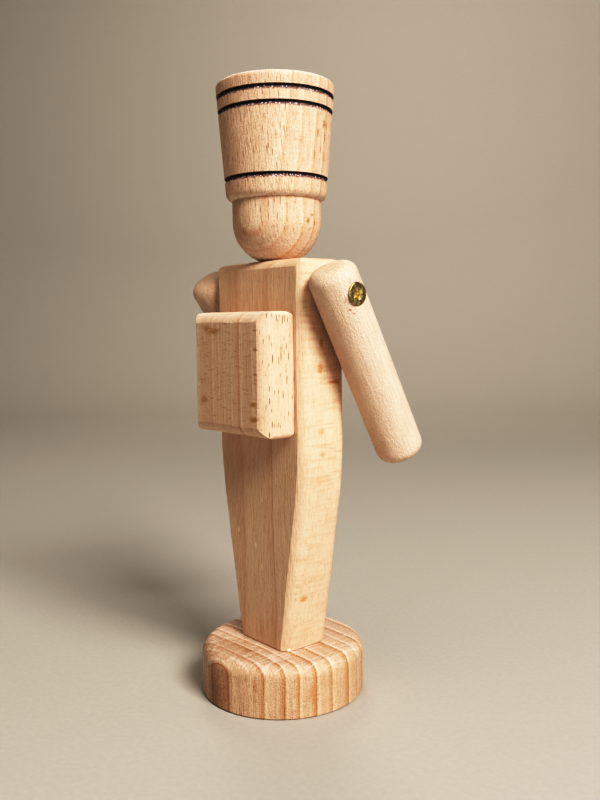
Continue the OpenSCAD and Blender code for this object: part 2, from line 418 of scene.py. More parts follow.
def ways_it_is_sawn(tree, lie):
    """How far the surface is flat-sawn, quartered and across the grain."""
    normal = add(tree, "TexCoord")["Normal"]
    out_of_trunk, round_trunk, up_trunk = lie.to_matrix()
    shares = []
    for way, low, high in ((out_of_trunk, 0.35, 0.85), (round_trunk, 0.45, 0.9), (up_trunk, 0.35, 0.9)):
        facing = add(tree, "VectorMath", {0: normal, 1: way}, operation="DOT_PRODUCT")["Value"]
        turned = add(tree, "Math", {0: facing}, operation="ABSOLUTE")[0]
        shares.append(add(tree, "MapRange", {"Value": turned, "From Min": low, "From Max": high})[0])
    return shares


def grain_noises(tree, wavy):
    """Noises stretched to the sizes of the wood's features."""
    noises = {}
    for key, size, detail in GRAIN_NOISES:
        spread = add(tree, "VectorMath", {0: wavy, 1: [1 / a for a in size]}, operation="MULTIPLY")[0]
        noises[key] = add(tree, "TexNoise", {"Vector": spread, "Scale": 1.0, "Detail": detail})["Fac"]
    return noises


def band_by_seasons(tree, wavy, quartered, tone, rings, pith, look):
    """Growth rings about a far pith: a pale line, a long even band, and a dark edge. Returns the colours of
    the long grain and of the end grain."""
    out = add(tree, "VectorMath", {0: wavy, 1: (1, 1, 0), 2: (pith - WANDER / 2, -WANDER / 2, 0)},
              operation="MULTIPLY_ADD")[0]
    radius = add(tree, "VectorMath", {0: out}, operation="LENGTH")["Value"]
    share = add(tree, "MapRange", {
        "Value": radius, "From Min": pith + rings[0][0], "From Max": pith + rings[-1][0]})[0]
    season = add(tree, "ValToRGB", {"Fac": share}, stops=year_rings(rings))["Color"]
    on_quartered = look["seasons"] if look["quarter_seasons"] is None else look["quarter_seasons"]
    ringed = add(tree, "MapRange", {
        "Value": quartered, "To Min": look["seasons"], "To Max": on_quartered})[0]
    colours = []
    for wood, pale, edge in (
            (tone, look["early"], SEASON_EDGE), (look["end_tone"], EARLY_ACROSS, SEASON_EDGE_ACROSS)):
        banded = add(tree, "ValToRGB", {"Fac": season}, stops=[
            (0.0, srgb(pale)), (0.06, srgb(pale)), (0.24, srgb(wood)), (0.62, srgb(wood)),
            (0.91, srgb(look["late"])), (0.975, srgb(edge)), (1.0, srgb(edge))])["Color"]
        colours.append(add(tree, "Mix", {
            FACTOR: ringed, FIRST: srgb(wood), SECOND: banded}, data_type="RGBA")[MIXED])
    return colours


def shade_long_grain(tree, colour, noises, quartered, look):
    """Patches, fibres, open pores and silver waves darken and lighten the long grain. Streaks of opened
    vessels are brown, and so are flecks where rays lie side on. Returns the colour, and the streaks."""
    here_and_there = add(tree, "MapRange", {
        "Value": noises["patch"], "From Min": 0.42, "From Max": 0.58,
        "To Min": 0.4 * look["silver"], "To Max": look["silver"]})[0]
    lustre = add(tree, "Math", {0: quartered, 1: here_and_there}, operation="MULTIPLY")[0]
    fibrous = add(tree, "MapRange", {"Value": quartered, "To Min": 1.0, "To Max": 0.25})[0]
    for key, strength, dark, even, light in (
            ("patch", look["patches"], (0.30, (0.88, 0.83, 0.79, 1)), 1.0, (0.72, (1.04, 1.04, 1.03, 1))),
            ("fibre", fibrous, (0.3, (0.90, 0.87, 0.84, 1)), 0.99, (0.7, (1.04, 1.05, 1.05, 1))),
            ("pore", look["grit"], (0.34, (0.90, 0.86, 0.82, 1)), 1.0, (0.68, (1.05, 1.06, 1.07, 1))),
            ("wave", lustre, (0.36, (0.90, 0.80, 0.75, 1)), 1.0, (0.64, (1.03, 1.03, 1.03, 1)))):
        shade = add(tree, "ValToRGB", {"Fac": noises[key]}, stops=[dark, (0.5, grey(even)), light])["Color"]
        colour = add(tree, "Mix", {
            FACTOR: strength, FIRST: colour, SECOND: shade}, data_type="RGBA", blend_type="MULTIPLY")[MIXED]
    streak = add(tree, "MapRange", {
        "Value": noises["vessel"], "From Min": 0.53, "From Max": 0.65, "To Max": look["streaks"]})[0]
    fleck = add(tree, "MapRange", {
        "Value": noises["ripple"], "From Min": 0.60, "From Max": 0.70, "To Max": look["flecks"]})[0]
    side_on = add(tree, "Math", {0: fleck, 1: quartered}, operation="MULTIPLY")[0]
    for cover, brown in ((streak, VESSEL), (side_on, FLECK)):
        colour = add(tree, "Mix", {
            FACTOR: cover, FIRST: colour, SECOND: srgb(brown)}, data_type="RGBA")[MIXED]
    return colour, streak


def shade_end_grain(tree, colour, noises):
    """Fine rays and pores darken and lighten the end grain, and broad pale rays cross it."""
    for key, *stops in (
            ("hatch", (0.36, (0.90, 0.84, 0.80, 1)), (0.5, (0.99, 0.98, 0.97, 1)), (0.66, grey(1.05))),
            ("pore", (0.34, (0.88, 0.83, 0.79, 1)), (0.5, grey(1.0)), (0.68, (1.06, 1.07, 1.08, 1)))):
        shade = add(tree, "ValToRGB", {"Fac": noises[key]}, stops=stops)["Color"]
        colour = add(tree, "Mix", {
            FACTOR: 1.0, FIRST: colour, SECOND: shade}, data_type="RGBA", blend_type="MULTIPLY")[MIXED]
    ray = add(tree, "ValToRGB", {"Fac": noises["ray"]}, stops=[
        (0.465, grey(0.0)), (0.495, grey(0.45)), (0.505, grey(0.45)), (0.535, grey(0.0))])["Color"]
    return add(tree, "Mix", {FACTOR: ray, FIRST: colour, SECOND: srgb(RAY_ACROSS)}, data_type="RGBA")[MIXED]


def dash(tree, colour, wavy, flat_sawn, look):
    """Rays end on, on flat-sawn faces: broad ones are dashes 0.25 by 2.2 mm and narrow ones 0.18 by 1.1 mm.
    Returns the colour, and where the broad ones are."""
    along = add(tree, "SeparateXYZ", {0: wavy})
    face = add(tree, "CombineXYZ", {0: along["Y"], 1: along["Z"]})[0]
    dents = []
    for cell, strength, brown in (
            ((0.62, 5.5, 1.0), look["dashes"], "#6A4A2C"), ((0.45, 2.8, 1.0), look["pores"], "#94683E")):
        spread = add(tree, "VectorMath", {0: face, 1: [1 / a for a in cell]}, operation="MULTIPLY")[0]
        lens = add(tree, "TexVoronoi", {"Vector": spread, "Scale": 1.0}, voronoi_dimensions="2D")
        chosen = add(tree, "SeparateColor", {0: lens["Color"]})["Red"]
        reach = add(tree, "ValToRGB", {"Fac": chosen}, stops=[
            (0.40, grey(0.0)), (0.42, grey(0.09)), (1.0, grey(0.23))])["Color"]
        inside = add(tree, "Math", {0: reach, 1: lens["Distance"]}, operation="SUBTRACT")[0]
        shown = add(tree, "MapRange", {"Value": inside, "From Max": 0.06, "To Max": strength})[0]
        dents.append(add(tree, "Math", {0: shown, 1: flat_sawn}, operation="MULTIPLY")[0])
        colour = add(tree, "Mix", {
            FACTOR: dents[-1], FIRST: colour, SECOND: srgb(brown)}, data_type="RGBA")[MIXED]
    return colour, dents[0]


def mark(tree, colour, plain, tear, marks):
    """Marks where the real piece has them, and painted shade on the base's top behind the body, with torn
    outlines.
    """
    for spot, size, strength, stain in marks:
        away = add(tree, "VectorMath", {0: plain, 1: spot}, operation="SUBTRACT")[0]
        near = add(tree, "VectorMath", {0: away, 1: [1 / a for a in size]}, operation="MULTIPLY")[0]
        far = add(tree, "VectorMath", {0: near}, operation="LENGTH")["Value"]
        torn = add(tree, "Math", {0: tear, 1: 1.6, 2: far}, operation="MULTIPLY_ADD")[0]
        inside = add(tree, "MapRange", {
            "Value": torn, "From Min": 1.2, "From Max": 1.8, "To Min": strength, "To Max": 0.0})[0]
        colour = add(tree, "Mix", {
            FACTOR: inside, FIRST: colour, SECOND: srgb(stain)}, data_type="RGBA")[MIXED]
    return colour


def sand(tree, plain, fibre, streak, dent, look):
    """Sanded across fibres that stand up a few hundredths of a millimetre. Returns bump and roughness."""
    nap = add(tree, "TexNoise", {"Vector": plain, "Scale": 2.6, "Detail": 3.0, "Roughness": 0.7})["Fac"]
    height = fibre
    for push, amount in ((nap, look["fuzz"]), (streak, -0.8), (dent, -1.0)):
        height = add(tree, "Math", {0: push, 1: amount, 2: height}, operation="MULTIPLY_ADD")[0]
    bump = add(tree, "Bump", {"Height": height, "Distance": look["relief"] * MM, "Strength": 1.0})[0]
    smoothest, roughest = look["gloss"]
    rough = add(tree, "MapRange", {
        "Value": fibre, "From Min": 0.3, "From Max": 0.7, "To Min": smoothest, "To Max": roughest})[0]
    return bump, rough


def beech(name, tone, rings, centre, pith, turn=(0, 0, 0), marks=(), **own):
    """Sanded, unfinished beech, cut from one solid pattern that runs through the piece in millimetres.
    Growth rings shade it in bands, rays show as dark dashes on flat-sawn faces and as silver grain on
    quartered ones, and end grain has its own tone with pale rays. It gives the eye a warm, close-grained,
    satin wood."""
    look = {**PLAIN_BEECH, **own}
    material, tree, shader = new_material(name)
    plain = place_in_millimetres(tree)
    lie = Euler([math.radians(a) for a in turn])
    wavy = lay_of_grain(tree, plain, lie, centre)
    flat_sawn, quartered, across_grain = ways_it_is_sawn(tree, lie)
    noises = grain_noises(tree, wavy)
    colour, end_colour = band_by_seasons(tree, wavy, quartered, tone, rings, pith, look)
    colour, streak = shade_long_grain(tree, colour, noises, quartered, look)
    end_colour = shade_end_grain(tree, end_colour, noises)
    colour, dent = dash(tree, colour, wavy, flat_sawn, look)
    end_share = add(tree, "Math", {0: across_grain, 1: look["end"]}, operation="MULTIPLY")[0]
    colour = add(tree, "Mix", {
        FACTOR: end_share, FIRST: colour, SECOND: end_colour}, data_type="RGBA")[MIXED]
    colour = mark(tree, colour, plain, noises["ripple"], marks)
    bump, rough = sand(tree, plain, noises["fibre"], streak, dent, look)
    feed(tree, shader, {"Base Color": colour, "Roughness": rough, "Normal": bump, "IOR": 1.4})
    return material


def burn(material, levels):
    """Burnt grooves: charred black, darkest towards the top with painted shade of the groove's
    downward-facing upper wall, and a purplish, frayed lower lip with bright specks that are painted glints.
    """
    tree = material.node_tree
    shader = tree.nodes["Principled BSDF"]
    colour = shader.inputs["Base Color"].links[0].from_socket
    plain = place_in_millimetres(tree)
    level = add(tree, "SeparateXYZ", {0: plain})["Z"]
    upright = add(tree, "VectorMath", {0: plain, 1: (1 / 0.45, 1 / 0.45, 1 / 1.6)}, operation="MULTIPLY")[0]
    fray = add(tree, "TexNoise", {"Vector": upright, "Scale": 1.0, "Detail": 2.0})["Fac"]
    frayed = add(tree, "Math", {0: fray, 1: level})[0]
    specks = add(tree, "TexVoronoi", {"Vector": plain, "Scale": 1.9})["Distance"]
    speck = add(tree, "MapRange", {
        "Value": specks, "From Min": 0.22, "From Max": 0.38, "To Min": 0.95, "To Max": 0.0})[0]
    for groove in levels:
        # A millimetre below to a millimetre above the groove's middle, with the fray's own mean of 0.5 added
        share = add(tree, "MapRange", {
            "Value": frayed, "From Min": groove - 1 + 0.5, "From Max": groove + 1 + 0.5})[0]
        # Darkens upwards across the groove: burnt wood, with painted shade where the groove's upper wall
        # faces down
        char_and_shade = add(tree, "ValToRGB", {"Fac": share}, stops=[
            (0.10, srgb("#A07A68", 0.0)), (0.19, srgb("#7C5A50", 0.85)), (0.42, srgb("#5E423C")),
            (0.54, srgb("#2A1B18")), (0.66, srgb("#0C0807"))])
        below = add(tree, "MapRange", {
            "Value": level, "From Min": groove + 0.50, "From Max": groove + 0.64,
            "To Min": 1.0, "To Max": 0.0})[0]
        cover = add(tree, "Math", {0: char_and_shade["Alpha"], 1: below}, operation="MULTIPLY")[0]
        lip = add(tree, "ValToRGB", {"Fac": share}, stops=[
            (0.14, grey(0.0)), (0.22, grey(1.0)), (0.46, grey(1.0)), (0.54, grey(0.0))])["Color"]
        # Bright specks on the lower lip: painted glints
        painted_glint = add(tree, "Math", {0: lip, 1: speck}, operation="MULTIPLY")[0]
        for amount, shade in ((cover, char_and_shade["Color"]), (painted_glint, srgb("#E6DCE0"))):
            colour = add(tree, "Mix", {
                FACTOR: amount, FIRST: colour, SECOND: shade}, data_type="RGBA")[MIXED]
    feed(tree, shader, {"Base Color": colour})


def brass_plate(name):
    """Yellow-passivated steel screws: an olive-gold metal with fine scuffs. The recess is painted pale: a
    painted highlight on its edges that is partly driver wear, and more golden towards its bottom."""
    material, tree, shader = new_material(name)
    plain = place_in_millimetres(tree)
    cloud = add(tree, "TexNoise", {"Vector": plain, "Scale": 1.3, "Detail": 4.0})["Fac"]
    plated = add(tree, "ValToRGB", {"Fac": cloud}, stops=[
        (0.35, srgb("#7A6C4A")), (0.5, srgb("#9A8A60")), (0.68, srgb("#CCBE94"))])["Color"]
    deep = add(tree, "Attribute", attribute_name="recess")["Fac"]
    # Pale where the recess starts: painted highlight on its edges, partly driver wear
    highlight_and_wear = add(tree, "ValToRGB", {"Fac": deep}, stops=[
        (0.04, srgb("#F6EED2", 0.0)), (0.12, srgb("#F6EED2")), (0.55, srgb("#F0E3BA")),
        (0.95, srgb("#D2BA7C"))])
    metal = add(tree, "Mix", {
        FACTOR: highlight_and_wear["Alpha"], FIRST: plated, SECOND: highlight_and_wear["Color"]}, data_type="RGBA")[MIXED]
    scuff = add(tree, "TexNoise", {"Vector": plain, "Scale": 5.0, "Detail": 3.0})["Fac"]
    gloss = add(tree, "MapRange", {"Value": scuff, "To Min": 0.30, "To Max": 0.60})[0]
    relief = add(tree, "Bump", {"Height": scuff, "Distance": 0.06 * MM, "Strength": 1.0})[0]
    feed(tree, shader, {"Base Color": metal, "Roughness": gloss, "Normal": relief, "Metallic": 1.0})
    return material


def studio_paper():
    """Pale, matt paper with a faint tooth, which gives the eye a plain ground."""
    material, tree, shader = new_material("studio_paper")
    place = add(tree, "TexCoord")["Object"]
    tooth = add(tree, "TexNoise", {"Vector": place, "Scale": 700.0, "Detail": 2.0})["Fac"]
    tint = add(tree, "ValToRGB", {"Fac": tooth}, stops=[
        (0.3, srgb("#ADA69C")), (0.7, srgb("#B1AAA0"))])["Color"]
    feed(tree, shader, {"Base Color": tint, "Roughness": 0.85})
    return material


# Pieces

def make_base():
    """Base disc, turned with its grain upright, with a countersunk hole for each foot screw."""
    bm = bmesh.new()
    end = bm.verts.new((0, 0, 0))
    end = lines_to(bm, end, (BASE_R - BASE_BEVEL, 0), (BASE_R, BASE_BEVEL), (BASE_R, BASE_H - BASE_EDGE_R))
    end = arc_about(bm, end, BASE_R - BASE_EDGE_R, BASE_H - BASE_EDGE_R, degrees=90, steps=10)
    lines_to(bm, end, (0, BASE_H))
    cut_long_lines(bm, longest=1.6)
    turn_on_lathe(bm, steps=160)
    wall = [v for v in bm.verts if 1 < v.co.z < BASE_H - 0.1]
    unevenness(bm, depth=0.05, grain=6.0, seed=1, among=wall)
    keep_within(bm, BASE_R)
    for side in (-1, 1):
        bm = bore_for_screw(bm, foot_screw_place(side), FOOT_SCREW, gap=FAST_GAP, around_head=HEAD_GAP,
                            open_above=OVER)
    return bm


def rounded_bar(w, h, length, front_r, back_r):
    """Bar along Z, centred. Its edges towards -Y are rounded by front_r and those towards +Y by back_r."""
    bm = bmesh.new()
    bmesh.ops.create_grid(bm, x_segments=1, y_segments=1, size=0.5)
    bmesh.ops.scale(bm, vec=(w, h, 1), verts=bm.verts)
    for side, r in ((-1, front_r), (1, back_r)):
        corners = [v for v in bm.verts if side * v.co.y > h / 2 - NEAR and abs(v.co.x) > w / 2 - NEAR]
        bmesh.ops.bevel(bm, geom=corners, offset=r, offset_type="OFFSET", segments=9, profile=0.5,
                        affect="VERTICES", clamp_overlap=False, material=-1)
    made = bmesh.ops.extrude_face_region(bm, geom=bm.faces[:])["geom"]
    top = [v for v in made if isinstance(v, bmesh.types.BMVert)]
    bmesh.ops.translate(bm, vec=(0, 0, length), verts=top)
    bmesh.ops.translate(bm, vec=(0, 0, -length / 2), verts=bm.verts)
    bmesh.ops.recalc_face_normals(bm, faces=bm.faces)
    return bm


def eased_blank(w, d, low, high, front_r, level_front_r, back_r, corner_r):
    """Blank with round edges: what three bars have in common, one upright, one along X and one along Y."""
    h = high - low
    bm = rounded_bar(w, d, h + OVER, front_r, back_r)
    for bar, axis in ((rounded_bar(h, d, w + OVER, level_front_r, back_r), "Y"),
                      (rounded_bar(w, h, d + OVER, corner_r, corner_r), "X")):
        bmesh.ops.rotate(bar, matrix=Matrix.Rotation(math.pi / 2, 3, axis), verts=bar.verts)
        bm = cut_with(bm, bar, "INTERSECT")
    bmesh.ops.translate(bm, vec=(0, 0, (low + high) / 2), verts=bm.verts)
    return bm


def soften_waist(bm):
    """Sands the bend at the waist: its sides curve in from a little above to a little below it."""
    for v in bm.verts:
        into_bend = max(0.0, WAIST_SOFT - abs(v.co.z - WAIST_Z))
        v.co.x *= 1 - TAPER * into_bend ** 2 / (4 * WAIST_SOFT) / (BODY_W / 2)


def make_body():
    """Body block: eased, tapered below the waist, its faces sanded back, and bored for dowel and screws."""
    low = BASE_H - BODY_EDGE_R
    blank_d = BODY_D + 2 * FACE_RELIEF
    bm = eased_blank(BODY_W, blank_d, low, SHOULDER_Z, BODY_EDGE_R, BODY_EDGE_R, BODY_EDGE_R, BODY_EDGE_R)
    for side in (-1, 1):
        inside = rounded_bar(2 * BODY_W, blank_d, 2 * SHOULDER_Z, BODY_EDGE_R, BODY_EDGE_R)
        bmesh.ops.translate(inside, vec=(-side * BODY_W, 0, 0), verts=inside.verts)
        bmesh.ops.rotate(inside, matrix=Matrix.Rotation(side * math.atan(TAPER), 3, "Y"), verts=inside.verts)
        bmesh.ops.translate(inside, vec=(side * BODY_W / 2, 0, WAIST_Z), verts=inside.verts)
        bm = cut_with(bm, inside, "INTERSECT")
    slice_up(bm, "Z", low, SHOULDER_Z, pitch=1.2)
    slice_up(bm, "X", -BODY_W / 2, BODY_W / 2, pitch=1.2)
    soften_waist(bm)
    unevenness(bm, depth=0.09, grain=7.0, seed=2)
    unevenness(bm, depth=0.02, grain=1.8, seed=3)
    fit_inside(bm, BODY_W / 2, low, SHOULDER_Z)
    for side in (-1, 1):
        plane_off(bm, (0, side * BODY_D / 2, 0), (0, side, 0))
    sole = plane_off(bm, (0, 0, BASE_H), (0, 0, -1))
    bmesh.ops.bevel(bm, geom=sole[0].edges[:], offset=SOLE_BEVEL, offset_type="OFFSET", segments=1,
                    profile=0.5, affect="EDGES", material=-1)
    bore = bmesh.new()
    bmesh.ops.create_cone(bore, cap_ends=True, segments=64, radius1=NECK_BORE_R, radius2=NECK_BORE_R,
                          depth=NECK_BORE_DEPTH + OVER)
    bmesh.ops.translate(bore, vec=(0, 0, SHOULDER_Z + (OVER - NECK_BORE_DEPTH) / 2), verts=bore.verts)
    bm = cut_with(bm, bore)
    for side in (-1, 1):
        bm = bore_for_screw(bm, arm_screw_place(side), ARM_SCREW, gap=FAST_GAP, past_point=PILOT_ROOM)
        bm = bore_for_screw(bm, foot_screw_place(side), FOOT_SCREW, gap=FAST_GAP, past_point=PILOT_ROOM)
    return bm


def make_knapsack():
    """Knapsack block: rounded towards its back, which is then sanded flat and left with a crisp border."""
    low = PACK_TOP_Z - PACK_H
    bm = eased_blank(PACK_W, PACK_T + 2 * FACE_RELIEF, low, PACK_TOP_Z, PACK_CORNER_R, PACK_FRONT_R,
                     PACK_EDGE_R, PACK_CORNER_R)
    slice_up(bm, "Z", low, PACK_TOP_Z, pitch=0.6)
    slice_up(bm, "X", -PACK_W / 2, PACK_W / 2, pitch=0.6)
    unevenness(bm, depth=0.10, grain=5.0, seed=3)
    unevenness(bm, depth=0.03, grain=0.9, seed=4)
    fit_inside(bm, PACK_W / 2, low, PACK_TOP_Z)
    for side in (-1, 1):
        plane_off(bm, (0, side * PACK_T / 2, 0), (0, side, 0))
    bmesh.ops.translate(bm, vec=(0, (BODY_D + PACK_T) / 2, 0), verts=bm.verts)
    return bm


def hat_r(z):
    """Radius of the hat's tapered side."""
    return HAT_BRIM_R + FLARE * (z - BRIM_Z)


def turn_grooves(bm, end, lean, outward):
    """Draws the profile up the hat's side through its grooves, whose arcs stand square to that side."""
    along = Vector((math.sin(lean), math.cos(lean)))
    groove_r = ((GROOVE_W / 2) ** 2 + GROOVE_DEPTH ** 2) / (2 * GROOVE_DEPTH)
    for z in GROOVES:
        middle = Vector((hat_r(z) + groove_r - GROOVE_DEPTH, z))
        stand_off = (middle.x - hat_r(z)) * math.cos(lean)
        half = math.sqrt(groove_r ** 2 - stand_off ** 2)
        half_turn = math.degrees(math.acos(stand_off / groove_r))
        start = middle - outward * stand_off - along * half
        end = lines_to(bm, end, start)
        end = arc_about(bm, end, middle.x, middle.y, -2 * half_turn, steps=10)
    return end


def make_head():
    """Head and hat in one, turned on the lathe with the bore for the neck dowel."""
    lean = math.atan(FLARE)
    outward = Vector((math.cos(lean), -math.sin(lean)))
    chin_z = SHOULDER_Z + math.sqrt(CHIN_R ** 2 - (CHIN_FLAT_R - HEAD_R + CHIN_R) ** 2)
    chin_turn = math.degrees(math.acos((CHIN_FLAT_R - HEAD_R + CHIN_R) / CHIN_R))
    bm = bmesh.new()
    end = bm.verts.new((0, 0, SHOULDER_Z + NECK_BORE_DEPTH))
    end = lines_to(bm, end, (NECK_BORE_R, SHOULDER_Z + NECK_BORE_DEPTH), (NECK_BORE_R, SHOULDER_Z),
                   (CHIN_FLAT_R, SHOULDER_Z))
    end = arc_about(bm, end, HEAD_R - CHIN_R, chin_z, chin_turn, steps=22)
    brim_z = BRIM_Z + BRIM_EDGE_R
    brim_x = hat_r(brim_z) - BRIM_EDGE_R / math.cos(lean)
    meet = math.acos((HEAD_R - brim_x) / BRIM_EDGE_R)
    end = lines_to(bm, end, (HEAD_R, brim_z - BRIM_EDGE_R * math.sin(meet)))
    end = arc_about(bm, end, brim_x, brim_z, math.degrees(meet - lean), steps=10)
    end = turn_grooves(bm, end, lean, outward)
    crown_z = CROWN_Z - CROWN_EDGE_R
    crown_x = hat_r(crown_z) - CROWN_EDGE_R / math.cos(lean)
    end = lines_to(bm, end, Vector((crown_x, crown_z)) + outward * CROWN_EDGE_R)
    end = arc_about(bm, end, crown_x, crown_z, 90 + math.degrees(lean), steps=8)
    lines_to(bm, end, (0, CROWN_Z))
    cut_long_lines(bm, longest=1.2)
    turn_on_lathe(bm, steps=192)
    for z in GROOVES:
        burnt = [v for v in bm.verts if abs(v.co.z - z) < 0.8 and v.co.xy.length > 10]
        unevenness(bm, depth=0.12, grain=0.5, seed=z, among=burnt)
    return bm


def make_arm(side, swing, seed):
    """Dowel with rounded ends, swung forwards on its screw."""
    top, bottom = ARM_ABOVE_PIVOT, ARM_ABOVE_PIVOT - ARM_L
    bm = bmesh.new()
    end = bm.verts.new((0, 0, bottom))
    end = lines_to(bm, end, (ARM_R - ARM_END_R, bottom))
    end = arc_about(bm, end, ARM_R - ARM_END_R, bottom + ARM_END_R, degrees=90, steps=8)
    end = lines_to(bm, end, (ARM_R, top - ARM_END_R))
    end = arc_about(bm, end, ARM_R - ARM_END_R, top - ARM_END_R, degrees=90, steps=8)
    lines_to(bm, end, (0, top))
    cut_long_lines(bm, longest=1.5)
    turn_on_lathe(bm, steps=96)
    between_ends = [v for v in bm.verts if bottom + 0.1 < v.co.z < top - 0.1]
    unevenness(bm, depth=0.05, grain=5.0, seed=seed, among=between_ends)
    keep_within(bm, ARM_R)
    swung = Matrix.Rotation(-math.radians(swing), 4, "X")
    hung = Matrix.Translation((side * ARM_X, PIVOT_Y, PIVOT_Z)) @ swung
    bmesh.ops.transform(bm, matrix=hung, verts=bm.verts)
    return bore_for_screw(bm, arm_screw_place(side), ARM_SCREW, gap=RUNNING_GAP, around_head=HEAD_GAP,
                          open_above=OVER)


def cut_cross(bm, head_d, turn):
    """Cuts the cross recess. Its slots narrow towards their bottom."""
    for spin, reach, width in CROSS_SLOTS:
        slot = bmesh.new()
        bmesh.ops.create_cube(slot, size=1)
        bmesh.ops.scale(slot, vec=(2 * reach * head_d, width * head_d, 2 * RECESS_DEPTH * head_d),
                        verts=slot.verts)
        bottom = [v for v in slot.verts if v.co.z < 0]
        bmesh.ops.scale(slot, vec=(0.5, 0.4, 1), verts=bottom)
        bmesh.ops.rotate(slot, matrix=Matrix.Rotation(math.radians(spin + turn), 3, "Z"), verts=slot.verts)
        bm = cut_with(bm, slot)
    return bm


def roll_thread(bm, d, core_r, top, length):
    """Winds the ribs of the thread round the core. They shrink with the point."""
    pitch = THREAD_PITCH * d
    turns = int((length - THREADLESS) / pitch)
    steps = 20
    rib = bmesh.new()
    flank = 0.22 * pitch
    end = rib.verts.new((core_r - ROOT_SUNK, 0, top + flank))
    lines_to(rib, end, (d / 2 - CREST_BACK, top), (core_r - ROOT_SUNK, top - flank))
    bmesh.ops.contextual_create(rib, geom=rib.verts[:] + rib.edges[:])
    bmesh.ops.spin(
        rib, geom=rib.verts[:] + rib.edges[:] + rib.faces[:], cent=(0, 0, 0), axis=(0, 0, 1),
        dvec=(0, 0, -pitch / steps), angle=math.tau * turns, steps=steps * turns, use_merge=False,
        use_duplicate=False)
    bmesh.ops.recalc_face_normals(rib, faces=rib.faces)
    for v in rib.verts:
        v.co.xy *= max(0.05, min(1.0, (v.co.z + length) / SCREW_POINT))
    mesh = as_mesh(rib, "rib")
    bm.from_mesh(mesh)
    bpy.data.meshes.remove(mesh)


def make_screw(place, d, head_d, length, turn):
    """Countersunk cross-recess wood screw with a rolled thread and a gimlet point. Its attribute "recess"
    rises from 0 at the face of the head to 1 at the bottom of the recess."""
    core_r = d / 2 - THREAD_H * d
    neck_z = core_r - head_d / 2 - HEAD_RIM
    bm = bmesh.new()
    end = bm.verts.new((0, 0, 0))
    lines_to(bm, end, (head_d / 2 - HEAD_BEVEL_W, 0), (head_d / 2, -HEAD_BEVEL_H), (head_d / 2, -HEAD_RIM),
             (core_r, neck_z), (core_r, SCREW_POINT - length), (0, -length))
    turn_on_lathe(bm, steps=48)
    bm = cut_cross(bm, head_d, turn)
    roll_thread(bm, d, core_r, neck_z - THREAD_START, length)
    deep = bm.verts.layers.float.new("recess")
    for v in bm.verts:
        highlight_and_wear = v.co.xy.length < RECESS_BOUND_R * head_d and -v.co.z < RECESS_BOUND_DEPTH * head_d
        v[deep] = min(1.0, -v.co.z / (RECESS_DEPTH * head_d)) if highlight_and_wear else 0.0
    bmesh.ops.transform(bm, matrix=place, verts=bm.verts)
    return bm


# Studio

def make_camera():
    """Camera at the photograph's place, with its view."""
    data = bpy.data.cameras.new("camera")
    data.sensor_width = SENSOR
    data.lens = FOCAL_PIXELS * SENSOR / LONG_SIDE_PIXELS
    data.clip_start = NEAREST
    data.clip_end = FARTHEST
    camera = put_out("camera", data)
    bearing = math.radians(BEARING)
    eye = Vector((-DISTANCE * math.sin(bearing), DISTANCE * math.cos(bearing), LENS_HEIGHT))
    heading = math.pi + bearing + math.radians(YAW)
    turn = (Matrix.Rotation(heading, 4, "Z")
            @ Matrix.Rotation(math.pi / 2 + math.radians(PITCH), 4, "X")
            @ Matrix.Rotation(math.radians(ROLL), 4, "Z"))
    camera.matrix_world = Matrix.Translation(eye) @ turn
    bpy.context.scene.camera = camera


def make_floor():
    """Pale paper floor that curves up into a backdrop all round."""
    bm = bmesh.new()
    end = bm.verts.new((0, 0, -FLOOR_GAP))
    end = lines_to(bm, end, (FLOOR_R, -FLOOR_GAP))
    end = arc_about(bm, end, FLOOR_R, FLOOR_SWEEP_R, degrees=90, steps=16)
    lines_to(bm, end, (FLOOR_R + FLOOR_SWEEP_R, WALL_TOP))
    turn_on_lathe(bm, steps=96)
    bmesh.ops.scale(bm, vec=(MM, MM, MM), verts=bm.verts)
    if sum(f.normal.z for f in bm.faces) < 0:
        bmesh.ops.reverse_faces(bm, faces=bm.faces)
    mesh = as_mesh(bm, "floor")
    mesh.shade_smooth()
    mesh.materials.append(studio_paper())
    floor = put_out("floor", mesh)


def spot_round(bearing, height, distance):
    """A place round the figure's middle. Bearing is in degrees from its right hand, -X, to its back, +Y."""
    b, h = math.radians(bearing), math.radians(height)
    towards = Vector((-math.cos(b) * math.cos(h), math.sin(b) * math.cos(h), math.sin(h)))
    return FIGURE_MIDDLE + towards * distance


def make_lamp(name, spot, aim, size, power, colour=(1, 1, 1), spread=180):
    """Square soft lamp that looks from one spot at another."""
    lamp = bpy.data.lights.new(name, "AREA")
    lamp.energy = power
    lamp.size = size
    lamp.color = colour
    lamp.spread = math.radians(spread)
    light = put_out(name, lamp)
    light.location = spot
    light.rotation_euler = (aim - spot).to_track_quat("-Z", "Y").to_euler()


def light_studio():
    """One soft lamp from the figure's right, weak ones over it, on its far side and for the backdrop."""
    make_lamp("key", spot_round(7, 39, 0.9), FIGURE_MIDDLE, size=0.36, power=10.2)
    make_lamp("overhead", spot_round(70, 65, 0.45), FIGURE_MIDDLE, size=0.30, power=0.40,
              colour=(1.0, 0.95, 0.86))
    make_lamp("far_side", spot_round(215, 42, 0.9), FIGURE_MIDDLE, size=0.25, power=1.4,
              colour=(1.0, 0.95, 0.88))
    make_lamp("backdrop", Vector((0.30, -0.37, 0.75)), Vector((0.85, -1.0, 0.30)), size=0.5, power=1.6,
              colour=(1.0, 0.96, 0.91), spread=120)
    world = bpy.data.worlds.new("studio")
    bpy.context.scene.world = world
    world.use_nodes = True
    world.node_tree.nodes["Background"].inputs["Color"].default_value = AMBIENT


def set_tones():
    """Gives the view the snapshot camera's tone curve."""
    view = bpy.context.scene.view_settings
    view.view_transform = "Standard"
    view.look = "None"
    view.use_curve_mapping = True
    for scene_light, shown_light in TONE_CURVE:
        view.curve_mapping.curves[3].points.new(scene_light, shown_light)
    view.curve_mapping.update()


